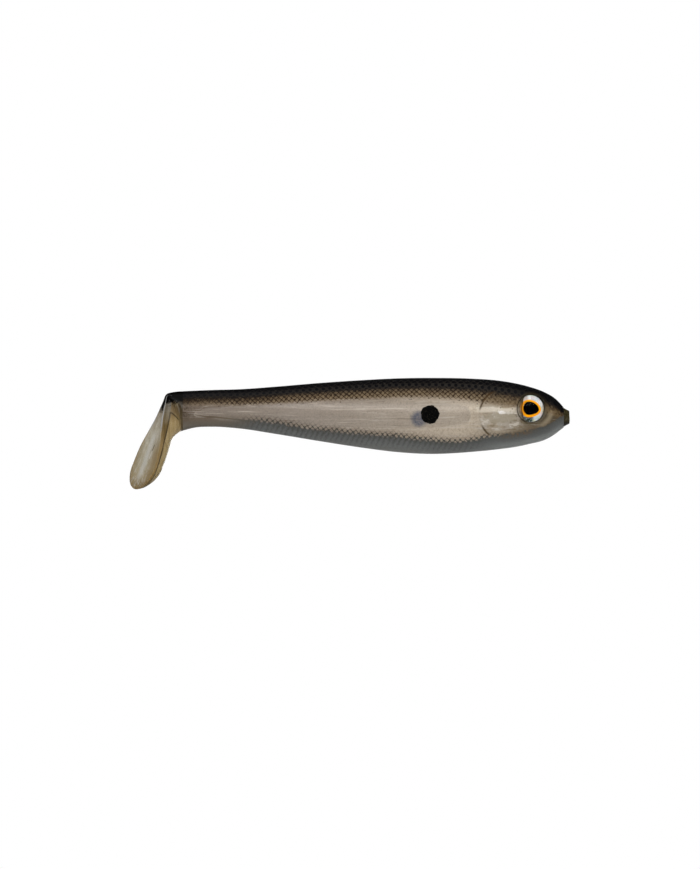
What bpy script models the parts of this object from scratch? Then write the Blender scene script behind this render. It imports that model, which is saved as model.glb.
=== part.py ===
"""Soft-plastic swimbait with a hollow body, a foil liner, cast eyes and a boot tail, at life size in metres.

The origin is the centre of the nose plug's flat face. +X points out of the nose, +Z up through the
back, and +Y to the fish's left. The soft moulding bends at four places, and each is cut as a round
seat with clearance, so that the stretches on both sides of it are solids that turn on one axis.
"""

import math

import bmesh
import bpy
import numpy as np
from mathutils import Matrix, Vector

# Body moulding. Outlines are shares of these three, so the body can be stretched each way by itself.
BODY_LENGTH = 0.1226  # nose face to the centre of the wrist
BODY_DEPTH = 0.0244
BODY_WIDTH = 0.0175
SECTION_POWER = 2.2  # 2 is an ellipse, more is squarer
WALL = 0.0026  # from the outside to the hollow
LAYER = 0.0010  # thickness of the back and belly colour layers
BACK_EDGE = math.radians(46)  # angle of the back layer's edge above the middle of the flank
BELLY_EDGE = math.radians(-35)
FIT_GAP = 0.0003  # clearance between pieces that touch

# Outline of the body from the side and from above, at shares of the length behind the nose.
STATIONS = np.array([0.016, 0.033, 0.064, 0.103, 0.181, 0.336, 0.492, 0.647, 0.780, 0.900, 1.000])
TOP_SHARES = np.array([0.129, 0.220, 0.325, 0.393, 0.471, 0.510, 0.497, 0.445, 0.390, 0.356, 0.343])
BOTTOM_SHARES = -np.array([0.147, 0.216, 0.307, 0.362, 0.427, 0.492, 0.444, 0.322, 0.215, 0.143, 0.160])
WIDTH_SHARES = np.array([0.390, 0.520, 0.640, 0.750, 0.885, 1.000, 0.950, 0.770, 0.585, 0.450, 0.390])

# Hollow for the hook, and the foil that lines it.
HOLLOW_FROM, HOLLOW_TO = 0.25, 0.82  # stations
HOLLOW_END_POWER = 16  # how blunt the hollow's ends are
FOIL_FROM, FOIL_TO = 0.29, 0.77
FOIL_THICKNESS = 0.0004
FOIL_EDGE = math.radians(25)  # the foil is one sheet folded under the belly, open along the back

# Bending places: station and the largest turn each way.
BODY_SWAY_STATION, BODY_SWAY_TURN = 0.647, math.radians(15)
STALK_SWAY_STATION, STALK_SWAY_TURN = 0.865, math.radians(25)
KICK_TURN = math.radians(40)
SEAT_MARGIN = 0.0003  # how much wider a seat is than the body beside it

# Nose plug.
PLUG_LENGTH = 0.0019
PLUG_FACE_RADIUS = 0.0022
PLUG_BASE_RADIUS = 0.0031
STEM_RADIUS = 0.0016
STEM_LENGTH = 0.0080
STEM_GAP = 0.0002

# Eyes, each a printed foil disc under a cast dome, in a round socket.
EYE_STATION = 0.100
EYE_HEIGHT = 0.0027
EYE_RADIUS = 0.0044
SOCKET_DEPTH = 0.0026
EYE_GAP = 0.0002
BACKING_THICKNESS = 0.0005
PRINT_THICKNESS = 0.0003
IRIS_RADIUS, IRIS_HOLE_RADIUS = 0.0030, 0.0024
DOME_HEIGHT = 0.0015

# Dark spots on the flanks.
SPOT_STATION = 0.363
SPOT_HEIGHT = 0.0009
SPOT_RADIUS = 0.0029
SPOT_DEPTH = 0.0008

# Boot tail: a thick D in level section, flat behind. It is stored kicked to the fish's right.
KICK_AT_REST = math.radians(28)
BOOT_DROP = 0.0307  # from the heel's top to the tip, straight down
HEEL_RISE = 0.0078  # how high the top lies above the nose's centre
BOOT_WIDTH = 0.0178
BOOT_THICKNESS = 0.0100  # at the wrist, front to back
HEEL_SETBACK = 0.0057  # from the wrist's centre to the rear face, at the heel's top
BOOT_SWEEP = math.radians(19.6)
BOOT_POWER = 2.3
RIM_SHARE = 0.15  # where the widest line lies between the rear face and the front
BOOT_STATIONS = np.array([0.00, 0.04, 0.14, 0.26, 0.38, 0.46, 0.52, 0.64, 0.77, 0.90, 0.97, 1.00])
BOOT_WIDTH_SHARES = np.array([0.14, 0.22, 0.32, 0.40, 0.56, 0.70, 0.80, 0.93, 1.00, 0.84, 0.52, 0.16])
BOOT_THICKNESS_SHARES = np.array([0.56, 0.64, 0.76, 0.88, 0.90, 0.70, 0.58, 0.51, 0.42, 0.29, 0.18, 0.12])
FOLD_STATION, FOLD_TURN = 0.60, math.radians(25)  # where the boot bends back, across its width

LENGTHWAYS = 22  # rings along a whole body layer
ARC_STEPS = 9  # steps round one stretch of a section
ROUND_STEPS = 32  # sides of a turned piece

for old in list(bpy.data.objects):
    bpy.data.objects.remove(old)

parts = bpy.data.collections.new("swimbait")
cutters = bpy.data.collections.new("cutters")
bpy.context.scene.collection.children.link(parts)
bpy.context.scene.collection.children.link(cutters)


def principled(name, colour, roughness, metallic=0.0):
    """A plain material of one colour."""
    made = bpy.data.materials.new(name)
    made.use_nodes = True
    shader = made.node_tree.nodes["Principled BSDF"]
    shader.inputs["Base Color"].default_value = (*colour, 1)
    shader.inputs["Roughness"].default_value = roughness
    shader.inputs["Metallic"].default_value = metallic
    return made


smoke_plastisol = principled("smoke plastisol", (0.45, 0.38, 0.29), 0.35)
back_plastisol = principled("black back plastisol", (0.01, 0.01, 0.015), 0.35)
belly_plastisol = principled("grey belly plastisol", (0.17, 0.18, 0.18), 0.35)
tail_plastisol = principled("clear tail plastisol", (0.42, 0.38, 0.31), 0.3)
plug_plastisol = principled("olive plug plastisol", (0.12, 0.10, 0.06), 0.4)
pearl_foil = principled("pearl foil", (0.60, 0.54, 0.46), 0.25, 0.8)
prism_foil = principled("prism foil", (0.80, 0.82, 0.84), 0.15, 0.9)
orange_print = principled("orange print", (0.95, 0.35, 0.0), 0.4)
black_print = principled("black print", (0.005, 0.005, 0.006), 0.3)
cast_resin = principled("clear cast resin", (0.9, 0.9, 0.9), 0.05)
spot_ink = principled("black spot ink", (0.01, 0.01, 0.01), 0.6)


def add(name, mesh, material=None, parent=None, cutter=False):
    """Puts a mesh in the scene, as a part with its material or as a cutter."""
    made = bpy.data.objects.new(name, mesh)
    (cutters if cutter else parts).objects.link(made)
    made.parent = parent
    if cutter:
        made.hide_render = True
        made.display_type = "WIRE"
    else:
        made.data.materials.clear()
        made.data.materials.append(material)
    return made


def cut(made, cutter, operation="DIFFERENCE"):
    """Adds a Boolean to a piece."""
    modifier = made.modifiers.new(cutter.name, "BOOLEAN")
    modifier.operation = operation
    modifier.object = cutter
    return made


def mesh_of(work, name):
    """A mesh from a bmesh, with its faces turned outwards and its round faces shaded smooth."""
    bmesh.ops.recalc_face_normals(work, faces=work.faces[:])
    made = bpy.data.meshes.new(name)
    work.to_mesh(made)
    work.free()
    made.shade_smooth()
    made.set_sharp_from_angle(angle=math.radians(35))
    return made


def loft(name, rings):
    """A closed solid through rings of equal point counts, capped at both ends."""
    work = bmesh.new()
    loops = [[work.verts.new(point) for point in ring] for ring in rings]
    for near, far in zip(loops, loops[1:]):
        for i in range(len(near)):
            work.faces.new((near[i - 1], near[i], far[i], far[i - 1]))
    work.faces.new(loops[0])
    work.faces.new(loops[-1])
    return mesh_of(work, name)


def drum(name, radius, low, high):
    """A cylinder about Z from one height to another."""
    work = bmesh.new()
    place = Matrix.Translation((0, 0, (low + high) / 2))
    bmesh.ops.create_cone(work, cap_ends=True, segments=ROUND_STEPS, radius1=radius, radius2=radius,
                          depth=high - low, matrix=place)
    return mesh_of(work, name)


def turned(name, profile, material, parent=None):
    """A solid turned about Z from (radius, height) points that run down its outer side."""
    work = bmesh.new()
    points = [work.verts.new((radius, 0, height)) for radius, height in profile]
    for upper, lower in zip(points, points[1:]):
        work.edges.new((upper, lower))
    outline = bpy.data.meshes.new(name)
    work.to_mesh(outline)
    work.free()
    made = add(name, outline, material, parent)
    screw = made.modifiers.new("turn", "SCREW")
    screw.axis = "Z"
    screw.steps = screw.render_steps = ROUND_STEPS
    screw.use_merge_vertices = True
    screw.merge_threshold = 0.00001
    screw.use_smooth_shade = True
    return made


def prism(name, outline, half_thickness):
    """A flat outline in the XY plane, as a filled curve made thick both ways, turned into a mesh."""
    curve = bpy.data.curves.new(name, "CURVE")
    curve.dimensions = "2D"
    curve.fill_mode = "BOTH"
    curve.extrude = half_thickness
    spline = curve.splines.new("POLY")
    spline.points.add(len(outline) - 1)
    for point, (x, y) in zip(spline.points, outline):
        point.co = (x, y, 0, 1)
    spline.use_cyclic_u = True
    flat = bpy.data.objects.new(name, curve)
    cutters.objects.link(flat)
    graph = bpy.context.evaluated_depsgraph_get()
    work = bmesh.new()
    work.from_mesh(bpy.data.meshes.new_from_object(flat.evaluated_get(graph)))
    bpy.data.objects.remove(flat)
    bmesh.ops.remove_doubles(work, verts=work.verts[:], dist=0.00001)
    return mesh_of(work, name)


def through(places, values, at):
    """A smooth curve through a few points: cubic pieces, each with the slopes of its end points."""
    slopes = np.gradient(values, places)
    i = np.clip(np.searchsorted(places, at) - 1, 0, len(places) - 2)
    span = places[i + 1] - places[i]
    t = (at - places[i]) / span
    rise = values[i + 1] - values[i]
    bend = (slopes[i] * span - rise) * (1 - t) - (slopes[i + 1] * span - rise) * t
    return values[i] + rise * t + t * (1 - t) * bend


def station_x(station):
    """Where a station of the body lies on X."""
    return -station * BODY_LENGTH


def half_sizes(station):
    """Middle height, half depth and half width of the body at a station."""
    top = through(STATIONS, TOP_SHARES, station) * BODY_DEPTH
    bottom = through(STATIONS, BOTTOM_SHARES, station) * BODY_DEPTH
    width = through(STATIONS, WIDTH_SHARES, station) * BODY_WIDTH
    return (top + bottom) / 2, (top - bottom) / 2, width / 2


def power_point(angle, power):
    """A point of the unit superellipse."""
    c, s = math.cos(angle), math.sin(angle)
    return math.copysign(abs(c) ** (2 / power), c), math.copysign(abs(s) ** (2 / power), s)


def skin_point(station, angle, inset=0.0):
    """A point of the body's outside, or of a skin that lies inset under it."""
    middle, half_depth, half_width = half_sizes(station)
    across, up = power_point(angle, SECTION_POWER)
    return Vector((station_x(station), across * (half_width - inset), middle + up * (half_depth - inset)))


def arc(low, high, steps=ARC_STEPS):
    """Evenly spaced angles, both ends included."""
    return np.linspace(low, high, steps + 1)


def edge_turn(station):
    """The angle that a fit gap takes up on the section."""
    return FIT_GAP / half_sizes(station)[1]


def shell_ring(station):
    """Outline of the clear shell: full size on the flanks, stepped in under the back and the belly."""
    stretches = (
        (BELLY_EDGE, BACK_EDGE, 0.0),
        (BACK_EDGE, math.pi - BACK_EDGE, LAYER + FIT_GAP),
        (math.pi - BACK_EDGE, math.pi - BELLY_EDGE, 0.0),
        (math.pi - BELLY_EDGE, 2 * math.pi + BELLY_EDGE, LAYER + FIT_GAP),
    )
    return [skin_point(station, a, inset) for low, high, inset in stretches for a in arc(low, high)]


def sheath_ring(station, low, high, inset, thickness):
    """Outline of a layer that covers a stretch of the section, from inset to inset plus thickness."""
    angles = arc(low + edge_turn(station), high - edge_turn(station))
    outer = [skin_point(station, a, inset) for a in angles]
    inner = [skin_point(station, a, inset + thickness) for a in angles[::-1]]
    return outer + inner


def stations_between(first, last):
    """Stations for rings, closer together towards the nose, where the body curves most."""
    count = max(4, round(LENGTHWAYS * (last - first)))
    return first + (last - first) * np.linspace(0, 1, count + 1) ** 1.25


def back_ring(station):
    """Outline of the back layer."""
    return sheath_ring(station, BACK_EDGE, math.pi - BACK_EDGE, 0.0, LAYER)


def belly_ring(station):
    """Outline of the belly layer."""
    return sheath_ring(station, math.pi - BELLY_EDGE, 2 * math.pi + BELLY_EDGE, 0.0, LAYER)


def foil_ring(station):
    """Outline of the foil, which lies just inside the hollow's wall."""
    first, last = math.pi - FOIL_EDGE, 2 * math.pi + FOIL_EDGE
    return sheath_ring(station, first, last, WALL + FIT_GAP, FOIL_THICKNESS)


def hollow_mesh():
    """The hollow: the body's outside less the wall, with blunt round ends."""
    rings = []
    for along in np.linspace(-1, 1, 15) * 0.999:
        station = HOLLOW_FROM + (HOLLOW_TO - HOLLOW_FROM) * (along + 1) / 2
        share = (1 - abs(along) ** HOLLOW_END_POWER) ** (1 / HOLLOW_END_POWER)
        middle = Vector((station_x(station), 0, half_sizes(station)[0]))
        rings.append([middle + (skin_point(station, a, WALL) - middle) * share
                      for a in arc(0, 2 * math.pi, 24)[:-1]])
    return loft("hollow", rings)


def seat_mesh(name, x, radius, lip):
    """All space behind a bend, with a round front about a vertical axis at x.

    The lip is how far in front of the axis the round front stops, which keeps the piece in front blunt.
    """
    half_turn = math.acos(lip / radius)
    front = [(x + radius * math.cos(a), radius * math.sin(a)) for a in arc(half_turn, -half_turn, 20)]
    reach, far = BODY_WIDTH * 2, x - BODY_LENGTH
    outline = [(far, reach), (x + lip, reach), *front, (x + lip, -reach), (far, -reach)]
    return prism(name, outline, BODY_DEPTH * 2)


def bend(name, half_width, turn, x=0.0, parent=None):
    """The pair of cutters for a bend: what is kept behind it, and what is cleared from in front of it."""
    radius = half_width + SEAT_MARGIN
    lip = half_width * math.sin(turn) + FIT_GAP
    kept = seat_mesh(name + "_kept", x, radius, 0.0)
    cleared = seat_mesh(name + "_cleared", x, radius + FIT_GAP, lip)
    return tuple(add(seat.name, seat, None, parent, True) for seat in (kept, cleared))


def body_bend(name, station, turn):
    """A bend across the body."""
    return bend(name, half_sizes(station)[2], turn, station_x(station))


middle_bend = body_bend("middle_bend", BODY_SWAY_STATION, BODY_SWAY_TURN)
stalk_bend = body_bend("stalk_bend", STALK_SWAY_STATION, STALK_SWAY_TURN)
wrist_bend = body_bend("wrist_bend", 1.0, KICK_TURN)
hollow = add("hollow", hollow_mesh(), cutter=True)
NOSE_STATION = (PLUG_LENGTH + FIT_GAP) / BODY_LENGTH
SEAT_REACH = BODY_WIDTH / 2 / BODY_LENGTH  # stations that a seat can take up in front of its axis


def joint_axis(name, station):
    """An empty on a bend's upright axis, which the pieces behind the bend are parented to."""
    made = bpy.data.objects.new(name, None)
    parts.objects.link(made)
    made.location = (station_x(station), 0, 0)
    return made


def carry(made, axis):
    """Parents a piece to its joint's axis and leaves it where it is."""
    bpy.context.view_layer.update()
    made.parent = axis
    made.matrix_parent_inverse = axis.matrix_world.inverted()


def body_piece(name, ring, material, first, last, axis=None, front=None, rear=None):
    """One stretch of a layer, from one bend to the next, on the axis that it turns about."""
    made = add(name, loft(name, [ring(s) for s in stations_between(first, last)]), material)
    if axis:
        carry(made, axis)
        cut(made, front[0], "INTERSECT")
    if rear:
        cut(made, rear[1])
    return made


middle_axis = joint_axis("middle_axis", BODY_SWAY_STATION)
stalk_axis = joint_axis("stalk_axis", STALK_SWAY_STATION)
carry(stalk_axis, middle_axis)

# Stretches of the body: first and last station of the loft, the axis, and the bends at its two ends.
front_ends = (NOSE_STATION, BODY_SWAY_STATION, None, None, middle_bend)
rear_ends = (BODY_SWAY_STATION - SEAT_REACH, STALK_SWAY_STATION, middle_axis, middle_bend, stalk_bend)
stalk_ends = (STALK_SWAY_STATION - SEAT_REACH, 1.0, stalk_axis, stalk_bend, wrist_bend)

front_shell = body_piece("front_shell", shell_ring, smoke_plastisol, *front_ends)
rear_shell = body_piece("rear_shell", shell_ring, smoke_plastisol, *rear_ends)
body_piece("stalk_core", shell_ring, smoke_plastisol, *stalk_ends)
cut(front_shell, hollow)
cut(rear_shell, hollow)

back_front = body_piece("back_layer_front", back_ring, back_plastisol, *front_ends)
body_piece("back_layer_rear", back_ring, back_plastisol, *rear_ends)
body_piece("back_layer_stalk", back_ring, back_plastisol, *stalk_ends)
body_piece("belly_layer_front", belly_ring, belly_plastisol, *front_ends)
body_piece("belly_layer_rear", belly_ring, belly_plastisol, *rear_ends)
body_piece("belly_layer_stalk", belly_ring, belly_plastisol, *stalk_ends)

foil_front_ends = (FOIL_FROM, BODY_SWAY_STATION, None, None, middle_bend)
foil_rear_ends = (BODY_SWAY_STATION - SEAT_REACH, FOIL_TO, middle_axis, middle_bend)
body_piece("foil_liner_front", foil_ring, pearl_foil, *foil_front_ends)
body_piece("foil_liner_rear", foil_ring, pearl_foil, *foil_rear_ends)

# Nose plug: a cone outside, and a stem in a blind hole in the head.
nose = bpy.data.objects.new("nose_axis", None)
parts.objects.link(nose)
nose.rotation_euler = (0, math.radians(90), 0)
turned("nose_plug", [(0, 0), (PLUG_FACE_RADIUS, 0), (PLUG_BASE_RADIUS, -PLUG_LENGTH),
                     (STEM_RADIUS, -PLUG_LENGTH), (STEM_RADIUS, -PLUG_LENGTH - STEM_LENGTH),
                     (0, -PLUG_LENGTH - STEM_LENGTH)], plug_plastisol, nose)
stem_hole = drum("stem_hole", STEM_RADIUS + STEM_GAP, -PLUG_LENGTH - STEM_LENGTH - FIT_GAP, PLUG_LENGTH)
cut(front_shell, add("stem_hole", stem_hole, parent=nose, cutter=True))


def flank_empty(name, station, height, side):
    """An empty on the body's outside, with its +Z square out of the flank."""
    middle, half_depth, half_width = half_sizes(station)
    up = (height - middle) / half_depth
    across = half_width * (1 - abs(up) ** SECTION_POWER) ** (1 / SECTION_POWER)
    step = 0.02
    swell = (half_sizes(station + step)[2] - half_sizes(station - step)[2]) / (2 * step * BODY_LENGTH)
    outwards = Vector((swell, side, 0)).normalized()
    made = bpy.data.objects.new(name, None)
    parts.objects.link(made)
    made.location = (station_x(station), side * across, height)
    made.rotation_euler = outwards.to_track_quat("Z", "Y").to_euler()
    return made


def eye(side_name, side):
    """A socket in the head, and the printed disc, iris, pupil and dome in it."""
    seat = flank_empty("eye_axis_" + side_name, EYE_STATION, EYE_HEIGHT, side)
    socket = add("eye_socket_" + side_name,
                 drum("eye_socket", EYE_RADIUS + EYE_GAP, -SOCKET_DEPTH, 2 * EYE_RADIUS), None, seat, True)
    cut(front_shell, socket)
    cut(back_front, socket)
    floor = -SOCKET_DEPTH + EYE_GAP
    print_floor = floor + BACKING_THICKNESS + EYE_GAP
    dome_floor = print_floor + PRINT_THICKNESS + EYE_GAP
    add("eye_backing_" + side_name, drum("eye_backing", EYE_RADIUS, floor, floor + BACKING_THICKNESS),
        prism_foil, seat)
    ring_top = print_floor + PRINT_THICKNESS
    add("pupil_" + side_name, drum("pupil", IRIS_HOLE_RADIUS - EYE_GAP, print_floor, ring_top),
        black_print, seat)
    turned("iris_ring_" + side_name, [(IRIS_HOLE_RADIUS, ring_top), (IRIS_RADIUS, ring_top),
                                      (IRIS_RADIUS, print_floor), (IRIS_HOLE_RADIUS, print_floor),
                                      (IRIS_HOLE_RADIUS, ring_top)], orange_print, seat)
    crown = [(EYE_RADIUS * math.sin(a), dome_floor + DOME_HEIGHT * (0.3 + 0.7 * math.cos(a)))
             for a in arc(0, math.pi / 2, 8)]
    turned("eye_dome_" + side_name, [*crown, (EYE_RADIUS, dome_floor), (0, dome_floor)], cast_resin, seat)


eye("left", 1)
eye("right", -1)


def spot(side_name, side):
    """A pigmented spot let into the flank, flush with it."""
    seat = flank_empty("spot_axis_" + side_name, SPOT_STATION, SPOT_HEIGHT, side)
    recess = drum("spot_recess", SPOT_RADIUS + FIT_GAP, -SPOT_DEPTH - FIT_GAP, SPOT_RADIUS)
    cut(front_shell, add("spot_recess_" + side_name, recess, None, seat, True))
    plug = drum("side_spot", SPOT_RADIUS, -SPOT_DEPTH, SPOT_RADIUS)
    cut(add("side_spot_" + side_name, plug, spot_ink, seat), flank_outside, "INTERSECT")


outside_rings = [[skin_point(s, a) for a in arc(0, 2 * math.pi, 4 * ARC_STEPS)[:-1]]
                 for s in stations_between(SPOT_STATION - SEAT_REACH, SPOT_STATION + SEAT_REACH)]
flank_outside = add("flank_outside", loft("flank_outside", outside_rings), cutter=True)
spot("left", 1)
spot("right", -1)

# Wrist: an upright barrel that turns in the stalk's seat, and the boot behind it, which folds.
wrist_middle, wrist_half_depth, wrist_half_width = half_sizes(1.0)
wrist = bpy.data.objects.new("wrist_axis", None)
parts.objects.link(wrist)
wrist.location = (station_x(1.0), 0, wrist_middle)
wrist.rotation_euler = (0, 0, KICK_AT_REST)
carry(wrist, stalk_axis)


def boot_section(station):
    """Rear face, thickness, half width and height of the boot at a station, in the wrist's frame."""
    drop = station * BOOT_DROP
    rear = -HEEL_SETBACK - drop * math.tan(BOOT_SWEEP)
    thickness = through(BOOT_STATIONS, BOOT_THICKNESS_SHARES, station) * BOOT_THICKNESS
    half_width = through(BOOT_STATIONS, BOOT_WIDTH_SHARES, station) * BOOT_WIDTH / 2
    return rear, thickness, half_width, HEEL_RISE - wrist_middle - drop


def boot_ring(station):
    """A level section of the boot: nearly flat behind its rim, and round in front of it."""
    rear, thickness, half_width, height = boot_section(station)
    ring = []
    for angle in arc(0, 2 * math.pi, 28)[:-1]:
        along, across = power_point(angle, BOOT_POWER)
        depth = thickness * ((1 - RIM_SHARE) if along > 0 else RIM_SHARE)
        ring.append((rear + thickness * RIM_SHARE + depth * along, half_width * across, height))
    return ring


fold_rear, fold_thickness, _, fold_height = boot_section(FOLD_STATION)
fold = bpy.data.objects.new("fold_axis", None)
parts.objects.link(fold)
fold.parent = wrist
fold.location = (fold_rear + fold_thickness / 2, 0, fold_height)
fold.rotation_euler = Matrix(((0, 1, 0), (0, 0, 1), (1, 0, 0))).to_euler()
fold_bend = bend("fold_bend", fold_thickness / 2, FOLD_TURN, 0.0, fold)

boot_loft = [boot_ring(s) for s in np.linspace(0, 1, 34)]
heel = add("tail_heel", loft("tail_heel", boot_loft), tail_plastisol, wrist)
cut(heel, fold_bend[1])
upright = drum("wrist_barrel", wrist_half_width, -wrist_half_depth + FIT_GAP, wrist_half_depth - FIT_GAP)
cut(heel, add("wrist_barrel", upright, None, wrist, True), "UNION")
paddle = add("paddle_blade", loft("paddle_blade", boot_loft), tail_plastisol, fold)
paddle.matrix_parent_inverse = fold.matrix_basis.inverted()  # its mesh is in the wrist's frame
cut(paddle, fold_bend[0], "INTERSECT")
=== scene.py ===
"""A soft-plastic swimbait with a hollow body, cast eyes and a boot tail, dressed over its CAD frame.

Sizes are in millimetres until a mesh is made. +X points out of the nose, +Z up through the back.
"""

import math

import bmesh
import bpy
import numpy as np
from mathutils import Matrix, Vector


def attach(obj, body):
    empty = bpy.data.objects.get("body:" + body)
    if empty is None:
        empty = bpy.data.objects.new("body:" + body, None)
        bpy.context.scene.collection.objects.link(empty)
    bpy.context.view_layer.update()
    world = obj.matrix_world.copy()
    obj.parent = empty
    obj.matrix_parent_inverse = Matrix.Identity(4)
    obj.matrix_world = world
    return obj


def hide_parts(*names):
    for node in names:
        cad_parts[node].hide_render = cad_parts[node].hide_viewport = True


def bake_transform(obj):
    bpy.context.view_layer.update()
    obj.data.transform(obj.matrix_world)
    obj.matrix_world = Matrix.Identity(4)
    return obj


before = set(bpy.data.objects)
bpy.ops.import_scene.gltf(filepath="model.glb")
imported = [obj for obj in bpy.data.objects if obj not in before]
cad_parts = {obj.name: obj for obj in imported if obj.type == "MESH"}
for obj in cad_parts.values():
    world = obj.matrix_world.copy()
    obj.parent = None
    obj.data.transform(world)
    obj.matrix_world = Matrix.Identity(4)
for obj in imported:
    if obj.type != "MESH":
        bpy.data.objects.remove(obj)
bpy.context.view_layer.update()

# -----------------------------------------------------------------------------
# Studio: a white sweep, one long soft box above and in front, and weak fill from below and behind.
# The lure hangs clear of the pale floor, as a lure does that is shown by itself.

VIEW_MIDDLE = Vector((-0.0698, 0.0, -0.0055))
CAMERA_DISTANCE = 1.6
VIEW_HEIGHT = 0.2764  # how much of the lure's plane the upright frame takes in


def add_object(name, data):
    """An object of the scene, at the origin."""
    made = bpy.data.objects.new(name, data)
    bpy.context.collection.objects.link(made)
    return made


camera_data = bpy.data.cameras.new("camera")
camera_data.lens = camera_data.sensor_width * CAMERA_DISTANCE / VIEW_HEIGHT
camera = add_object("camera", camera_data)
camera.location = VIEW_MIDDLE - Vector((0, CAMERA_DISTANCE, 0))
camera.rotation_euler = (math.radians(90), 0, 0)
bpy.context.scene.camera = camera
bpy.context.scene.view_settings.view_transform = "Standard"

world = bpy.data.worlds.new("white room")
bpy.context.scene.world = world
world.use_nodes = True
room = world.node_tree
room_light = room.nodes["Background"]
direction, upwards, shade, seen, level = (room.nodes.new("ShaderNode" + kind) for kind in (
    "TexCoord", "SeparateXYZ", "MapRange", "LightPath", "Mix"))
for name, value in (("From Min", -0.7), ("From Max", 0.5), ("To Min", 0.16), ("To Max", 0.05)):
    shade.inputs[name].default_value = value
room_light.inputs["Color"].default_value = (1, 1, 1, 1)
level.inputs[3].default_value = 1.0
for output, socket in (
        (direction.outputs["Generated"], upwards.inputs[0]), (upwards.outputs["Z"], shade.inputs["Value"]),
        (shade.outputs[0], level.inputs[2]), (seen.outputs["Is Camera Ray"], level.inputs[0]),
        (level.outputs[0], room_light.inputs["Strength"])):
    room.links.new(output, socket)


def soft_box(name, place, size, watts):
    """A rectangular area light aimed at the middle of the lure."""
    light = bpy.data.lights.new(name, "AREA")
    light.shape = "RECTANGLE"
    light.size, light.size_y = size
    light.energy = watts
    lamp = add_object(name, light)
    lamp.location = place
    lamp.rotation_euler = (VIEW_MIDDLE - Vector(place)).to_track_quat("-Z", "Y").to_euler()


soft_box("front_box", (-0.07, -0.90, 0.20), (1.3, 0.20), 3.6)
soft_box("front_fill", (-0.07, -1.05, 0.95), (2.8, 1.7), 16.5)
soft_box("top_box", (-0.07, -0.15, 0.9), (1.2, 0.3), 0.7)
soft_box("low_fill", (-0.07, -0.8, -0.5), (1.4, 0.5), 4.2)
soft_box("back_fill", (-0.07, 1.2, -0.25), (1.8, 0.8), 13)

floor_mesh = bpy.data.meshes.new("floor")
floor_mesh.from_pydata([(-9, -4, 0), (9, -4, 0), (9, 14, 0), (-9, 14, 0)], [], [(0, 1, 2, 3)])
floor = add_object("floor", floor_mesh)
floor.location.z = -0.16
paper = bpy.data.materials.new("pale paper")
paper.use_nodes = True
sheet = paper.node_tree
matt = sheet.nodes["Principled BSDF"]
matt.inputs["Base Color"].default_value = (0.9, 0.9, 0.9, 1)
matt.inputs["Roughness"].default_value = 0.9
glow, swap, ray = (sheet.nodes.new("ShaderNode" + kind) for kind in ("Emission", "MixShader", "LightPath"))
for output, socket in (
        (ray.outputs["Is Camera Ray"], swap.inputs[0]), (matt.outputs[0], swap.inputs[1]),
        (glow.outputs[0], swap.inputs[2]), (swap.outputs[0], sheet.nodes["Material Output"].inputs[0])):
    sheet.links.new(output, socket)
floor_mesh.materials.append(paper)

# -----------------------------------------------------------------------------
# Painted skin: the outside of the hand-poured body, one fused soft moulding in smoke-and-pearl plastic
# with a netted black back and a blue-grey belly. It is made in three lengths that meet in the middle of a
# rigid stretch of the frame, where no one sees the join.

MM = 0.001
SECTION_POWER = 2.2  # 2 is an ellipse, more is squarer
# Outlines in mm behind the nose: height of the back, height of the belly and half of the width.
BACK_LINE = ((1.9, 3.3, 4.6, 7.8, 12.6, 17.3, 22.1, 31.7, 43, 55, 65, 79.4, 93.7, 105, 114, 123.4),
             (3.2, 4.8, 6.0, 7.9, 9.65, 10.8, 11.6, 12.3, 12.5, 12.35, 11.85, 10.9, 9.7, 8.9, 8.65, 8.25))
BELLY_LINE = ((1.9, 3.3, 4.6, 7.8, 12.6, 17.3, 22.1, 31.7, 43, 55, 65, 79.4, 93.7, 105, 114, 119, 123.4),
              (-3.3, -4.4, -5.4, -7.2, -8.5, -9.5, -10.15, -11.1, -11.7, -11.1, -9.85, -7.65, -5.3, -3.6,
               -3.05, -3.3, -4.4))
FLANK_LINE = ((1.9, 4.0, 7.8, 12.6, 22.2, 41.2, 60.3, 79.3, 95.6, 110, 123.4),
              (3.4, 4.5, 5.6, 6.6, 7.75, 8.75, 8.3, 6.75, 5.15, 3.95, 3.4))


def through(line, at):
    """A smooth curve through a few points: cubic pieces, each with the slopes of its end points."""
    places, values = np.array(line[0], float), np.array(line[1], float)
    slopes = np.gradient(values, places)
    i = np.clip(np.searchsorted(places, at) - 1, 0, len(places) - 2)
    span, rise = places[i + 1] - places[i], values[i + 1] - values[i]
    t = np.clip((at - places[i]) / span, 0, 1)
    bend = (slopes[i] * span - rise) * (1 - t) - (slopes[i + 1] * span - rise) * t
    return values[i] + rise * t + t * (1 - t) * bend


def smooth(t):
    """0 below 0, 1 above 1, and an S-curve between."""
    t = np.clip(t, 0, 1)
    return t * t * (3 - 2 * t)


def turns(count):
    """Angles evenly spaced round a full turn."""
    return np.linspace(0, 2 * np.pi, count, endpoint=False)


def power_wave(wave, power):
    """A cosine or sine made squarer, for a superellipse."""
    return np.sign(wave) * np.abs(wave) ** (2 / power)


GILL_MIDDLE, GILL_RADIUS = (-20.6, 0.8), 8.2  # of the round gill cover, in the side view


def gill_groove(x, z):
    """Depth of the gill cover's edge: a narrow dip along the rear half of a circle, none in front."""
    out = np.hypot(x - GILL_MIDDLE[0], z - GILL_MIDDLE[1])
    behind = smooth((GILL_MIDDLE[0] - x) / 2.5) * (0.25 + 0.75 * smooth((np.abs(z + 0.2) - 1.6) / 2))
    behind = behind * smooth((z + 6.6) / 1.2) * smooth((9.0 - z) / 1.2)
    return 0.24 * np.exp(-((out - GILL_RADIUS) / 0.3) ** 2) * behind


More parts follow.
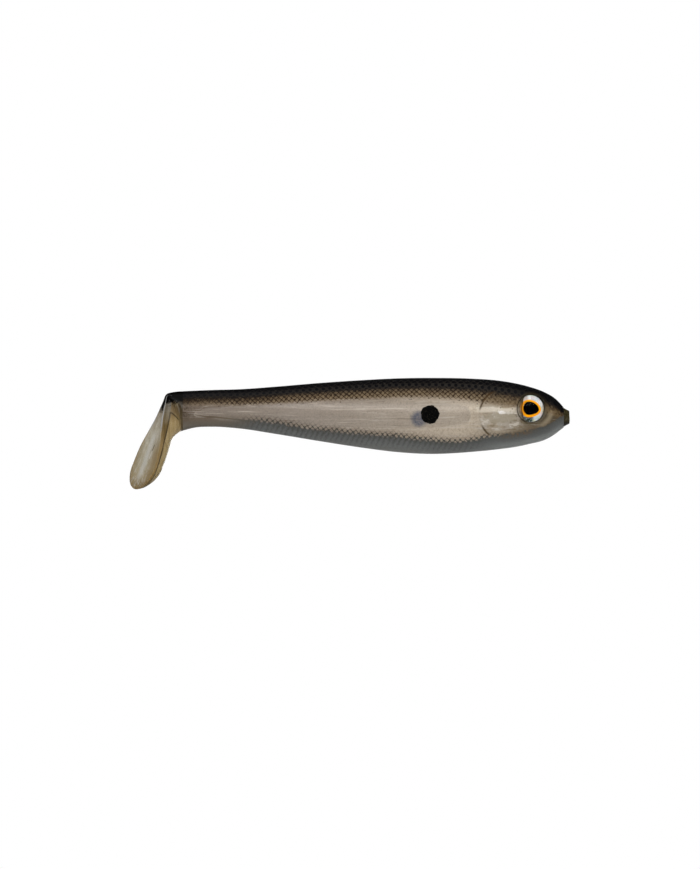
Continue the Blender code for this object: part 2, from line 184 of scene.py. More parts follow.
def body_skin(back, turn):
    """A point of the moulding's outside, in mm: a superellipse that hangs between the back and belly lines.

    back is the distance behind the nose and turn the angle up from the left flank, as arrays that broadcast.
    """
    top, bottom, half_width = through(BACK_LINE, back), through(BELLY_LINE, back), through(FLANK_LINE, back)
    across = half_width * power_wave(np.cos(turn), SECTION_POWER)
    up = (top + bottom) / 2 + (top - bottom) / 2 * power_wave(np.sin(turn), SECTION_POWER)
    return np.stack(np.broadcast_arrays(-back, across, up), -1)


# The hollow shows faintly through the flank: its top and foot, as heights along the body.
HOLLOW_TOP = ((0, 31, 32, 34, 38, 45, 55, 75, 90, 100, 110, 117, 119, 123.4),
              (-9, -2, 2.0, 3.5, 4.3, 4.7, 4.7, 4.3, 3.9, 3.6, 3.3, 2.4, 1.0, -9))
HOLLOW_FOOT = ((0, 31, 32, 34, 38, 45, 55, 70, 89.5, 100, 111, 117, 119, 123.4),
               (9, 2, -1.0, -2.2, -3.0, -3.4, -3.6, -3.4, -2.9, -1.5, -0.1, 0.5, 1.0, 9))


def skin_fields(back, turn):
    """Paint guides at points of the skin: the back's share, the belly's rise, and girths in mm.

    back_share runs down the back's fade, 0 at the ridge and 1 where the net ends; belly_rise is the height
    above the belly's colour edge; from_ridge and from_keel are the ways round the skin, added up in short
    straight steps.
    """
    back, turn = np.broadcast_arrays(back, turn)
    z = body_skin(back, turn)[..., 2]
    fade = through(((0, 3, 8, 19, 35, 70, 100, 123.4), (4.0, 5.2, 6.6, 8.2, 6.9, 6.1, 5.3, 4.8)), back)
    edge = through(((0, 1.5, 7.5, 16, 25, 34, 54, 69, 84, 95, 108, 123.4),
                    (-0.2, 0.3, -2.6, -4.6, -5.7, -7.2, -5.8, -4.6, -3.0, -1.2, -0.4, -0.9)), back)
    fields = {"back_share": (through(BACK_LINE, back) - z) / fade, "belly_rise": z - edge,
              "in_hollow": np.minimum(through(HOLLOW_TOP, back) - z, z - through(HOLLOW_FOOT, back))}
    for name, pole in (("from_ridge", np.pi / 2), ("from_keel", -np.pi / 2)):
        swing = np.abs((turn - pole + np.pi) % (2 * np.pi) - np.pi)  # both flanks are alike
        walk = body_skin(back[..., None], pole + swing[..., None] * np.linspace(0, 1, 40))
        fields[name] = np.linalg.norm(np.diff(walk, axis=-2), axis=-1).sum(-1)
    return fields


def ring_mesh(name, rings, fields, material, closed_section=False, sharp=40):
    """A closed solid from a grid of rings in mm, joined by quads, with its paint guides as attributes.

    With closed_section the last ring is joined to the first; otherwise a fan closes each end.
    """
    rows, around = rings.shape[:2]
    near = np.arange(rows * around).reshape(rows, around)
    base, ahead = (near, np.roll(near, -1, axis=0)) if closed_section else (near[:-1], near[1:])
    faces = np.stack([base, ahead, np.roll(ahead, -1, axis=1), np.roll(base, -1, axis=1)], -1).reshape(-1, 4).tolist()
    vertices = rings.reshape(-1, 3)
    if not closed_section:
        vertices = np.concatenate([vertices, [rings[0].mean(0), rings[-1].mean(0)]])
        beside = np.roll(near, -1, axis=1)
        faces += np.stack([near[0], beside[0], np.full(around, rows * around)], -1).tolist()
        faces += np.stack([beside[-1], near[-1], np.full(around, rows * around + 1)], -1).tolist()
    mesh = bpy.data.meshes.new(name)
    mesh.from_pydata((vertices * MM).tolist(), [], faces)
    for field, values in fields.items():
        values = np.broadcast_to(values, (rows, around))
        ends = [] if closed_section else [values[0].mean(), values[-1].mean()]
        values = np.append(values.reshape(-1), ends).astype(np.float32)
        mesh.attributes.new(field, "FLOAT", "POINT").data.foreach_set("value", values)
    shape = bmesh.new()
    shape.from_mesh(mesh)
    bmesh.ops.recalc_face_normals(shape, faces=shape.faces)
    shape.to_mesh(mesh)
    shape.free()
    mesh.shade_smooth()
    mesh.set_sharp_from_angle(angle=math.radians(sharp))
    mesh.materials.append(material)
    return add_object(name, mesh)


def seen_colour(red, green, blue):
    """A linear colour from one written as on a paint chart, 0 to 255."""
    return tuple((np.array((red, green, blue)) / 255) ** 2.2)


class Maker:
    """Short ways to add nodes to one material or node group. A chart is a colour as on a paint chart."""

    def __init__(self, tree):
        self.tree = tree
        self.shader = tree.nodes.get("Principled BSDF")

    def node(self, kind, **settings):
        made = self.tree.nodes.new("ShaderNode" + kind)
        for key, value in settings.items():
            setattr(made, key, value)
        return made

    def put(self, socket, value):
        """Links a socket, or sets a plain value."""
        if isinstance(value, bpy.types.NodeSocket):
            self.tree.links.new(value, socket)
        elif isinstance(value, tuple) and len(value) == 3 and socket.type == "RGBA":
            socket.default_value = (*value, 1)
        else:
            socket.default_value = value

    def set(self, name, value):
        """Feeds or sets a socket of the material's own shader."""
        self.put(self.shader.inputs[name], value)

    def math(self, operation, *values, clamp=False):
        made = self.node("Math", operation=operation, use_clamp=clamp)
        for socket, value in zip(made.inputs, values):
            self.put(socket, value)
        return made.outputs[0]

    def times(self, first, *others):
        for other in others:
            first = self.math("MULTIPLY", first, other)
        return first

    def plus(self, first, *others):
        for other in others:
            first = self.math("ADD", first, other)
        return first

    def less(self, first, other):
        return self.math("SUBTRACT", first, other)

    def span(self, value, low, high, to_low=0.0, to_high=1.0):
        """Maps a range onto another with a smooth start and end."""
        made = self.node("MapRange", interpolation_type="SMOOTHSTEP")
        for socket, given in zip(made.inputs, (value, low, high, to_low, to_high)):
            self.put(socket, given)
        return made.outputs[0]

    def fade(self, value, low, high, strength=1.0):
        """A strength that falls to 0 over a range."""
        return self.span(value, low, high, strength, 0.0)

    def near(self, value, middle, inner, outer, strength=1.0, elsewhere=0.0):
        """A strength within inner of a middle value, and another beyond outer."""
        return self.span(self.math("ABSOLUTE", self.less(value, middle)), inner, outer, strength, elsewhere)

    def mix(self, share, low, high, blend="MIX"):
        """Mixes two colours."""
        made = self.node("Mix", data_type="RGBA", blend_type=blend)
        for socket, value in zip((made.inputs[0], made.inputs[6], made.inputs[7]), (share, low, high)):
            self.put(socket, value)
        return made.outputs[2]

    def lay(self, under, chart, *shares):
        """Lays a chart colour over another, by the product of its shares."""
        return self.mix(self.times(*shares), under, seen_colour(*chart))

    def shaded(self, colour, amount):
        """Multiplies a colour by another or by a grey."""
        return self.mix(1.0, colour, amount, "MULTIPLY")

    def brushes(self):
        """The ones that a paint uses most."""
        return self.span, self.fade, self.near, self.times, self.plus, self.less, self.lay

    def ramp(self, value, stops):
        """A colour ramp from (place, colour) stops; a plain number stands for a grey."""
        made = self.node("ValToRGB")
        self.put(made.inputs[0], value)
        elements = made.color_ramp.elements
        while len(elements) < len(stops):
            elements.new(0.5)
        for element, (place, colour) in zip(elements, stops):
            element.position = place
            element.color = (*((colour,) * 3 if isinstance(colour, (int, float)) else colour), 1)
        return made.outputs[0]

    def paints(self, value, *stops):
        """A colour ramp from (place, red, green, blue) stops, in chart colours."""
        return self.ramp(value, [(place, seen_colour(*chart)) for place, *chart in stops])

    def noise(self, vector, scale, detail=2.0, roughness=0.5):
        made = self.node("TexNoise")
        for name, value in (("Vector", vector), ("Scale", scale), ("Detail", detail), ("Roughness", roughness)):
            self.put(made.inputs[name], value)
        return made.outputs[0]

    def cells(self, vector, scale):
        """The outputs of a Voronoi texture: grains with a distance and a colour each."""
        made = self.node("TexVoronoi", feature="F1")
        self.put(made.inputs["Vector"], vector)
        made.inputs["Scale"].default_value = scale
        return made.outputs

    def stretch(self, vector, amounts):
        """Scales a vector by three amounts."""
        made = self.node("VectorMath", operation="MULTIPLY")
        self.put(made.inputs[0], vector)
        made.inputs[1].default_value = amounts
        return made.outputs[0]

    def away(self, vector, place):
        """Distance in the side view from a point given as (x, z)."""
        made = self.node("VectorMath", operation="DISTANCE")
        self.put(made.inputs[0], self.stretch(vector, (1, 0, 1)))
        made.inputs[1].default_value = (place[0], 0, place[1])
        return made.outputs["Value"]

    def place(self):
        """Object coordinates in mm."""
        return self.stretch(self.node("TexCoord").outputs["Object"], (1000, 1000, 1000))

    def split(self, vector):
        """The three parts of a vector."""
        made = self.node("SeparateXYZ")
        self.put(made.inputs[0], vector)
        return made.outputs

    def fields(self, *names):
        """Paint guides stored on the mesh."""
        return [self.node("Attribute", attribute_name=name).outputs["Fac"] for name in names]

    def bump(self, height, distance, strength=1.0):
        """Small relief, distance in m."""
        made = self.node("Bump")
        made.inputs["Distance"].default_value = distance
        made.inputs["Strength"].default_value = strength
        self.put(made.inputs["Height"], height)
        self.set("Normal", made.outputs[0])


def plastic(name, roughness, coat=0.0, subsurface=0.0):
    """A new material and its maker, set up as a soft plastic."""
    made = bpy.data.materials.new(name)
    made.use_nodes = True
    make = Maker(made.node_tree)
    for socket, value in (("Roughness", roughness), ("Coat Weight", coat), ("Coat Roughness", 0.12),
                          ("Specular IOR Level", 0.07), ("Subsurface Weight", subsurface),
                          ("Subsurface Radius", (1.0, 0.8, 0.6)), ("Subsurface Scale", 0.0008)):
        make.set(socket, value)
    return made, make


# Node group: a net of diamond scales, in staggered rows. Line is 1 on the net's threads and Heart is 1 in the
# middle of a scale. Along and Around are in mm; a scale is Length long and Depth deep.
scale_net = bpy.data.node_groups.new("scale net", "ShaderNodeTree")
for name, value in (("Along", 0), ("Around", 0), ("Length", 1.65), ("Depth", 1.6), ("Thread", 0.12)):
    socket = scale_net.interface.new_socket(name, in_out="INPUT", socket_type="NodeSocketFloat")
    socket.default_value = value
for name in ("Line", "Heart"):
    scale_net.interface.new_socket(name, in_out="OUTPUT", socket_type="NodeSocketFloat")
given = scale_net.nodes.new("NodeGroupInput").outputs
result = scale_net.nodes.new("NodeGroupOutput").inputs
make = Maker(scale_net)
along = make.math("DIVIDE", given["Along"], given["Length"])
around = make.math("DIVIDE", given["Around"], given["Depth"])
rising, falling = (make.math("ABSOLUTE", make.less(make.math("FRACT", way), 0.5))
                   for way in (make.plus(along, around), make.less(along, around)))
edge = make.less(0.5, make.math("MAXIMUM", rising, falling))
make.put(result["Line"], make.fade(edge, make.times(given["Thread"], 0.35), given["Thread"]))
reach = make.math("SQRT", make.plus(make.times(rising, rising), make.times(falling, falling)))
make.put(result["Heart"], make.fade(reach, 0.36, 0.5))


def netting(make, along, around, **sizes):
    """Places the scale net and gives its outputs."""
    made = make.node("Group", node_tree=scale_net)
    make.put(made.inputs["Along"], along)
    make.put(made.inputs["Around"], around)
    for name, value in sizes.items():
        made.inputs[name].default_value = value
    return made.outputs


EYE_MIDDLE, EYE_TURN = (-12.26, 2.7), math.radians(11)  # in the side view, and how far it faces forward

# The body's paint: pearl flank by length, then foil and gill, then the netted back and the belly.
body_paint, make = plastic("painted pearl plastic", 0.3, 0.18, 0.12)
span, fade, near, times, plus, less, lay = make.brushes()
place = make.place()
x, _, z = make.split(place)
back_share, belly_rise, from_ridge, from_keel, in_hollow, lip = make.fields(
    "back_share", "belly_rise", "from_ridge", "from_keel", "in_hollow", "lip")
grain, fleck = make.noise(place, 3.2, 3, 0.65), make.noise(place, 1.35, 4, 0.75)

# Smoke plastic full of pearl: olive at the snout, palest at the shoulder, dull towards the wrist.
flank = make.paints(make.math("DIVIDE", x, -123), (0, 70, 62, 48), (0.06, 98, 88, 70), (0.13, 142, 128, 106),
                    (0.18, 176, 162, 140), (0.28, 198, 183, 162), (0.45, 184, 170, 152), (0.72, 160, 147, 134),
                    (0.88, 142, 128, 114), (1, 122, 108, 95))
flank = make.shaded(flank, make.ramp(fleck, ((0.34, 0.7), (0.45, 0.92), (0.58, 1), (0.7, 1.08))))
flank = make.shaded(flank, make.ramp(grain, ((0.28, 0.76), (0.42, 0.95), (0.55, 1), (0.72, 1.1))))

# The foil shows inside the hollow: cooler there, with a pale broken rim, and a dark line along its foot.
flank = lay(flank, (170, 160, 148), span(in_hollow, -0.1, 0.5, 0, 0.4))
breaks = make.noise(make.stretch(place, (0.16, 0.2, 0.5)), 1, 2, 0.6)
breaks = make.math("ADD", span(breaks, 0.46, 0.62, 0, 0.55), span(x, -52, -36, 0, 0.22), clamp=True)
flank = lay(flank, (206, 194, 178), near(in_hollow, -0.15, 0.15, 0.75), breaks)
flank = lay(flank, (216, 200, 178), fade(in_hollow, -0.6, 0.2, 0.5), span(x, -62, -40),
            span(fleck, 0.4, 0.56, 0.35, 1), fade(x, -29.5, -27))
flank = lay(flank, (84, 70, 56), near(in_hollow, -0.05, 0.05, 0.4, 0.8), fade(x, -91, -84), fade(z, 0.4, 1.2))

# Creases of the foil: long pale streaks, and brown ones between them.
streaks = make.noise(make.stretch(place, (0.07, 0.3, 1.9)), 1, 4, 0.65)
flank = lay(flank, (212, 201, 186), span(streaks, 0.53, 0.72, 0, 0.7))
flank = lay(flank, (118, 102, 84), span(streaks, 0.44, 0.3, 0, 0.45))

# Cheek: crumpled foil behind the eye, with painted light and shade in hard-edged bright and dull patches,
# a painted highlight band and a painted glint.
cheek = times(span(x, -30.5, -27), fade(x, -18, -13.5), span(z, -5, -3.2), fade(z, 2.6, 4.2))
crumple = make.noise(make.stretch(place, (0.26, 0.3, 0.55)), 1, 3, 0.6)
# Painted light and shade on the foil's folds: a pale patch, a bright one and a dull one.
flank = lay(flank, (192, 184, 170), cheek, span(crumple, 0.47, 0.5, 0, 0.55))
flank = lay(flank, (222, 212, 196), cheek, span(crumple, 0.585, 0.6, 0, 0.75))
flank = lay(flank, (132, 116, 88), cheek, span(crumple, 0.42, 0.38, 0, 0.5))
uneven = times(less(crumple, 0.5), 2.6)
patch = plus(make.away(make.stretch(place, (0.22, 1, 0.6)), (-4.8, -0.05)), uneven)
flank = lay(flank, (176, 166, 146), fade(patch, 0.82, 0.94, 0.8))
# A painted highlight band along the top of the cheek.
flank = lay(flank, (216, 205, 186), near(less(z, times(uneven, 0.7)), 2.35, 0.45, 1, 0.8),
            span(x, -31, -28), fade(x, -18.5, -16))
# A painted glint and its fainter painted trail, with ragged edges.
ragged_edge = times(less(fleck, 0.5), 1.6)
painted_glint = plus(make.away(make.stretch(place, (0.42, 1, 1)), (-9.2, 1.5)), ragged_edge)
flank = lay(flank, (250, 246, 240), fade(painted_glint, 0.3, 0.62))
painted_glint_trail = plus(make.away(make.stretch(place, (0.2, 1, 1)), (-4, 1.35)), ragged_edge)
flank = lay(flank, (236, 228, 214), fade(painted_glint_trail, 0.25, 0.55, 0.6))

# Light on the roll of the flank and the shade under it, then the dark snout and a crescent before the eye.
flank = make.shaded(flank, make.ramp(make.math("DIVIDE", plus(z, 12), 24), (
    (0, 0.84), (0.3, 0.98), (0.42, 0.98), (0.52, 0.95), (0.6, 1), (0.68, 0.84), (0.78, 0.78), (1, 0.8))))
flank = make.shaded(flank, (0.92, 0.92, 0.93))
flank = lay(flank, (58, 48, 34), span(x, -15, -5), span(z, 0.5, 5.5), 0.75)
eye_reach = make.away(place, EYE_MIDDLE)
flank = lay(flank, (176, 160, 132), span(x, -11.5, -8.5), near(eye_reach, 6.3, 0.1, 1.3, 0.5), span(z, 4.5, 2))

# Amber brown under the net, dust of the back's paint at the wrist, and the spot's shade on the layer beneath.
flank = lay(flank, (148, 124, 90), span(back_share, 0.3, 0.5), fade(back_share, 0.8, 1.12, 0.75))
flank = lay(flank, (66, 55, 42), span(x, -118.5, -122.9, 0, 0.75), span(fleck, 0.4, 0.6, 1, 0.35))
flank = lay(flank, (68, 78, 98), fade(make.away(place, (-48, -0.6)), 1.5, 3.4, 0.85),
            span(fleck, 0.36, 0.6, 1, 0.72))

# Back: black with thin outlines of big scales, a row of black scales, then a net that fades out, and dots.
drift = times(less(make.noise(place, 0.9), 0.5), 0.9)
net = netting(make, plus(x, drift), plus(from_ridge, drift))
cover = make.ramp(back_share, ((0, 1), (0.22, 0.995), (0.27, 0.955), (0.44, 0.945), (0.52, 0.935),
                               (0.62, 0.84), (0.76, 0.66), (0.91, 0.48), (1, 0.14)))
wander = times(less(fleck, 0.5), span(back_share, 0.4, 0.6, 0, 1.5), fade(back_share, 0.98, 1.1))
dense = times(span(x, -84, -106, 0, 0.16), span(back_share, 0.45, 0.6), fade(back_share, 1, 1.25))
threads = times(span(back_share, 0.46, 0.56, 0, 0.62), fade(back_share, 0.88, 1.12),
                span(x, -116, -100, 0.15, 1), span(x, -31, -24, 1, 0.08))
hearts = times(net["Heart"], span(back_share, 0.48, 0.6, 0, -0.13), fade(back_share, 0.9, 1.05))
cover = make.math("ADD", plus(cover, wander, dense, hearts), times(net["Line"], threads), clamp=True)
row_way = times(less(back_share, 0.34), 7)
row = netting(make, less(x, 0.5), row_way, Length=2.1, Depth=2.2)
cover = make.math("MAXIMUM", cover, times(row["Heart"], near(row_way, 0, 0.9, 1.2)))
big_scales = netting(make, x, from_ridge, Length=2.1, Depth=2.4, Thread=0.07)
outline = times(big_scales["Line"], span(grain, 0.4, 0.6, 0.2, 1), span(back_share, 0.02, 0.1),
                fade(back_share, 0.24, 0.34))
cover = make.math("SUBTRACT", cover, times(outline, 0.1), clamp=True)
dots = times(fade(make.cells(place, 0.85)["Distance"], 0.14, 0.24, 0.85), span(back_share, 0.5, 0.7),
             fade(back_share, 1, 1.3))
cover = make.math("MAXIMUM", cover, dots)
black = make.mix(span(back_share, 0.4, 0.7), (0.0035, 0.0035, 0.0045), seen_colour(42, 31, 20))
colour = make.mix(cover, flank, black)

# Belly: blue-grey, with painted light from below that pales it towards the keel and at the chin, and a
# saw-toothed edge of scales that blurs on the way to the wrist.
scales = netting(make, less(x, drift), plus(from_keel, drift), Length=1.7, Depth=1.9)
teeth = times(less(scales["Heart"], 0.5), fade(x, -26, -19, 1.2), span(x, -108, -98))
rise = plus(belly_rise, teeth, times(less(fleck, 0.5), 3))
firm = span(x, -112, -96)
under = plus(times(fade(rise, -0.4, 0.4), firm), times(fade(rise, -2.2, 1.4), less(1, firm)))
# Painted light from below: the grey is lighter towards the keel.
grey = make.paints(make.math("DIVIDE", plus(belly_rise, 6), 6), (0, 128, 127, 122), (0.45, 110, 112, 110),
                   (0.75, 90, 91, 89), (1, 78, 78, 75))
grey = make.shaded(grey, make.ramp(grain, ((0.3, 0.9), (0.7, 1.06))))
grey = lay(grey, (112, 104, 92), fade(x, -112, -98, 0.8))
# A painted highlight low on the belly under the head.
grey = lay(grey, (150, 154, 152), fade(belly_rise, -4.6, -2, 0.75), span(x, -34, -14))
grey = lay(grey, (108, 84, 54), near(x, -17, 2, 8, 0.6), span(belly_rise, -2.2, -0.4),
           span(fleck, 0.4, 0.6))
colour = lay(colour, (98, 80, 60), fade(belly_rise, 0, 1.6, 0.3))
colour = make.mix(under, colour, grey)

# The belly's net along its edge, and slanting streaks of scales below that.
scaled = times(span(x, -60, -34, 1, 0.6), fade(x, -33, -24), span(x, -108, -96, 0.1, 1))
colour = lay(colour, (56, 46, 36), scales["Line"], near(belly_rise, 0.1, 0.4, 2.5, 0.5),
             span(fleck, 0.36, 0.6, 0.25, 1.15), scaled)
streaked = times(span(belly_rise, -5, -2.4), fade(belly_rise, -1.2, -0.2), scaled,
                 span(fleck, 0.36, 0.6, 0.4, 1))
slant = make.math("FRACT", plus(less(make.math("DIVIDE", x, 1.7), times(z, 0.3)), drift))
colour = lay(colour, (62, 56, 48), streaked, near(slant, 0.5, 0.06, 0.2, 0.38))
colour = lay(colour, (140, 142, 140), streaked, near(slant, 0.5, 0.3, 0.46, 0, 0.16))

# Gill cover's edge: darkened brown along its groove, fainter in the middle.
colour = lay(colour, (66, 48, 26), near(make.away(place, GILL_MIDDLE), GILL_RADIUS, 0.08, 0.5, 0.85),
             fade(x, GILL_MIDDLE[0] - 2, GILL_MIDDLE[0] + 0.5), near(z, -0.2, 1.8, 3.6, 0.12, 1),
             span(z, -6.2, -5.2), fade(z, 7.4, 8.6))

# The lip round the eye is clear flesh over a dark socket; a painted orange reflection of the iris glows in its rear.
behind_eye = fade(x, -14.6, -13.6)
colour = lay(colour, (62, 55, 38), lip, span(x, -14.5, -9, 0.75, 0.35))
colour = lay(colour, (176, 112, 20), behind_eye, near(z, 2.9, 0.8, 2, 0.6), span(lip, 0.7, 1))
colour = lay(colour, (24, 20, 14), near(eye_reach, 4.62, 0.06, 0.22, 0.85), behind_eye, span(lip, 0, 0.1))

bare = less(1, cover)
make.set("Base Color", colour)
make.set("Metallic", times(bare, span(belly_rise, -0.3, 1.5), 0.1))
make.set("Coat Weight", times(bare, 0.18))
make.set("Roughness", plus(span(grain, 0.2, 0.8, 0.22, 0.36), span(back_share, 0.3, 0.6, -0.06, 0)))
make.bump(plus(times(net["Line"], threads, -0.6), times(grain, 0.5), times(outline, -0.8),
               times(crumple, cheek, 2.5)), 0.0001, 0.35)

AROUND = 200  # points round a ring
WRIST = 122.9  # where the painted skin ends, behind the nose
SEAT_DEPTH = 2.5  # of the eye's back, under the skin over its middle
PIT_RADIUS, PIT_EDGE, PIT_ROOM = 4.75, 0.5, 0.7  # of the hole for the eye: its floor, wall and spare depth


def flank_turn(x, z):
    """The angle on a ring of the skin that lies at height z: the superellipse turned round."""
    top, bottom = through(BACK_LINE, -x), through(BELLY_LINE, -x)
    share = np.clip((z - (top + bottom) / 2) / ((top - bottom) / 2), -1, 1)
    return np.arcsin(np.sign(share) * np.abs(share) ** (SECTION_POWER / 2))


def flank_point(x, z, side):
    """The skin's point at x and z on one side: +1 for the left flank, -1 for the right."""
    point = body_skin(-x, flank_turn(x, z))
    return point * np.array([1, side, 1])


def eye_frame(side):
    """The eye's middle on the skin, and its directions forward, up and outward."""
    middle = flank_point(np.array(EYE_MIDDLE[0]), np.array(EYE_MIDDLE[1]), side)
    outward = np.array([math.sin(EYE_TURN), side * math.cos(EYE_TURN), 0])
    forward = np.array([math.cos(EYE_TURN), -side * math.sin(EYE_TURN), 0])
    return middle, forward, np.array([0, 0, 1.0]), outward


def sunk_for_eyes(points):
    """Presses the skin down to a flat floor under each eye, so that nothing shows through it."""
    for side in (1, -1):
        middle, forward, up, outward = eye_frame(side)
        reach = np.hypot((points - middle) @ forward, (points - middle) @ up)
        rise = (points - middle) @ outward
        share = (1 - smooth((reach - PIT_RADIUS) / PIT_EDGE)) * (rise > -6)  # the near flank alone
        points = points - (np.maximum(rise + SEAT_DEPTH + PIT_ROOM, 0) * share)[..., None] * outward
    return points


def skin_length(name, start, end, step, nodes):
    """One length of the skin, from start to end in mm behind the nose, in place of CAD nodes."""
    back = np.linspace(start, end, round((end - start) / step) + 1)[:, None]
    turn = turns(AROUND)[None, :]
    points = body_skin(back, turn)
    points[..., 1] -= np.sign(points[..., 1]) * gill_groove(points[..., 0], points[..., 2])
    made = ring_mesh(name, sunk_for_eyes(points), skin_fields(back, turn), body_paint, sharp=50)
    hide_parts(*nodes)
    return made


front_skin = skin_length("front_skin", 1.9, 92.5, 0.3,
                         ("front_shell", "back_layer_front", "belly_layer_front"))
rear_skin = skin_length("rear_skin", 92.5, 112.5, 0.4, ("rear_shell", "back_layer_rear", "belly_layer_rear"))
stalk_skin = skin_length("stalk_skin", 112.5, WRIST, 0.3,
                         ("stalk_core", "back_layer_stalk", "belly_layer_stalk"))
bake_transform(front_skin)
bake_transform(rear_skin)
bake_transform(stalk_skin)

# -----------------------------------------------------------------------------
# Sockets: the clear flesh that stands in a low lip round each eye, moulded in one with the head.

LIP_RADIUS = 4.38  # of the lip's inner edge
LIP_OVERHANG = 1.35  # of the lip's rear over the disc
LIP_AROUND = 144  # points round a ring of the lip
LIP_BACK = SEAT_DEPTH + 0.35  # the lip's foot lies this far under the skin, just behind the eye


def eye_ring(side, reach, angle):
    """A point of the skin round the eye, at a reach and an angle about its middle, with its back and turn."""
    x = EYE_MIDDLE[0] + reach * np.cos(angle)
    z = EYE_MIDDLE[1] + reach * np.sin(angle)
    return flank_point(x, z, side), -x, flank_turn(x, z)


SIDES = ((1, "left"), (-1, "right"))
for side, side_name in SIDES:
    middle, _, _, outward = eye_frame(side)
    angle = turns(LIP_AROUND)[None, :]
    overhang = LIP_OVERHANG * np.exp(-((np.abs(angle - np.pi) / 0.85) ** 4))
    crest = np.array([0.0, 0.03, 0.10, 0.22, 0.38, 0.55, 0.72, 0.92, 1.12, 1.37, 1.62, 1.92])[:, None]
    lift = np.array([-0.14, -0.02, 0.08, 0.15, 0.17, 0.15, 0.12, 0.09, 0.06, 0.03, 0.0, -0.12])[:, None]
    reach = LIP_RADIUS + crest - overhang * np.clip(1 - crest / 1.5, 0, 1)
    on_skin, back, turn = eye_ring(side, *np.broadcast_arrays(reach, angle))
    crown = on_skin + lift[..., None] * np.array([0.1, side, 0.0])
    sunk = on_skin[-1:] - 0.7 * outward
    inside = LIP_RADIUS + 0.04 - overhang * np.array([[0.0], [0.5], [0.97]])
    under = eye_ring(side, *np.broadcast_arrays(inside, angle))[0]
    under = under - np.array([0.55, 0.5, 0.38])[:, None, None] * outward
    wall_foot = under[:1] - (((under[:1] - middle) @ outward)[..., None] + LIP_BACK) * outward
    foot_out = wall_foot + 0.45 * (wall_foot - (middle - LIP_BACK * outward)) / 4.4
    rings = np.concatenate([wall_foot, under, crown, sunk, foot_out])
    fields = {name: np.concatenate([v[:1]] * 4 + [v, v[-1:], v[:1]]) for name, v in skin_fields(back, turn).items()}
    fields["lip"] = np.concatenate([np.ones((4, 1)), np.clip(1.25 - crest / 0.9, 0, 1), [[0.0], [1.0]]])
    lip = ring_mesh("eye_socket_" + side_name, rings, fields, body_paint, closed_section=True)
    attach(lip, "front_body")

# -----------------------------------------------------------------------------
# Cast eyes: a round of prism foil with a printed egg-shaped iris and pupil, under a dome of clear resin.

EYE_RADIUS = 4.35
DISC, DOME = 0.985 * EYE_RADIUS, 0.975 * EYE_RADIUS  # radii of the foil and of the resin
EGG_MIDDLE = (-0.48, 0.2)  # of the iris and pupil, from the eye's middle


def egg(angle, front, rear, top, bottom):
    """Half axes of an egg at an angle: long and a little pointed to the front, where it also drops."""
    along, across = np.cos(angle), np.sin(angle)
    ahead = np.maximum(along, 0)
    x = np.where(along > 0, front, rear) * along
    z = np.where(across > 0, top, bottom) * across * (1 - 0.12 * ahead ** 2)
    return x, z - 0.42 * ahead ** 2.2


def eye_solid(name, side, middle_2d, outline, hole, low, high, round_edge, material, node):
    """A flat piece of the eye between two heights over its seat, within an outline and round a hole if any."""
    middle, forward, up, outward = eye_frame(side)
    seat = middle - SEAT_DEPTH * outward
    levels = [(1.0, low), (1.0, high - round_edge), (1.0 - 0.1 * round_edge, high - 0.3 * round_edge),
              (1.0 - round_edge / 3, high)]
    if hole is None:
        levels = [(0.02, low)] + levels + [(0.7, high), (0.4, high), (0.02, high)]
    grid = [(k * outline[0], k * outline[1], height) for k, height in levels]
    if hole is not None:
        grid += [(*hole, high), (*hole, low)]
    grid = [(x + middle_2d[0], z + middle_2d[1], height) for x, z, height in grid]
    rings = np.stack([seat + np.multiply.outer(x, forward) + np.multiply.outer(z, up) + height * outward
                      for x, z, height in grid])
    fields = {"eye_x": np.stack([x for x, _, _ in grid]), "eye_z": np.stack([z for _, z, _ in grid])}
    made = ring_mesh(name, rings, fields, material, closed_section=hole is not None)
    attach(made, "front_body")
    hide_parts(node)


prism_foil, make = plastic("prism foil", 0.32, 0.15)
place = make.place()
eye_x, eye_z = make.fields("eye_x", "eye_z")
prisms = make.node("SeparateColor")
make.put(prisms.inputs[0], make.cells(make.stretch(place, (1, 0.4, 1)), 1.1)["Color"])
chance, bulge, depth = prisms.outputs
hues = make.paints(chance, (0, 208, 226, 236), (0.25, 246, 246, 242), (0.45, 232, 214, 222), (0.6, 240, 236, 196),
                   (0.75, 214, 232, 222), (1, 252, 252, 252))
fine = make.noise(place, 4, 3, 0.7)
hues = make.shaded(hues, make.ramp(fine, ((0.3, 0.55), (0.55, 1))))
# A painted dark reflection across the lower rear of the disc.
hues = make.lay(hues, (40, 56, 54), make.fade(eye_z, -2.75, -2.2), make.fade(eye_x, 0.4, 1.4),
                make.span(depth, 0.2, 0.7, 0.98, 0.8))
reach = make.math("SQRT", make.plus(make.times(eye_x, eye_x), make.times(eye_z, eye_z)))
hues = make.lay(hues, (150, 165, 176), make.span(reach, 4.1, 4.3, 0, 0.3))
make.set("Base Color", make.shaded(hues, (0.84, 0.84, 0.84)))
make.set("Metallic", 0.4)
make.bump(make.plus(bulge, fine), 0.0003, 0.5)

orange_print, make = plastic("orange print", 0.5)
ink = make.noise(make.place(), 2.5, 3, 0.6)
make.set("Base Color", make.paints(ink, (0.3, 240, 140, 0), (0.6, 255, 166, 2), (0.8, 255, 186, 24)))

black_print, make = plastic("black print", 0.6)
make.set("Specular IOR Level", 0)
ink = make.noise(make.place(), 5)
make.set("Base Color", make.paints(ink, (0.3, 3, 3, 4), (0.7, 8, 8, 10)))

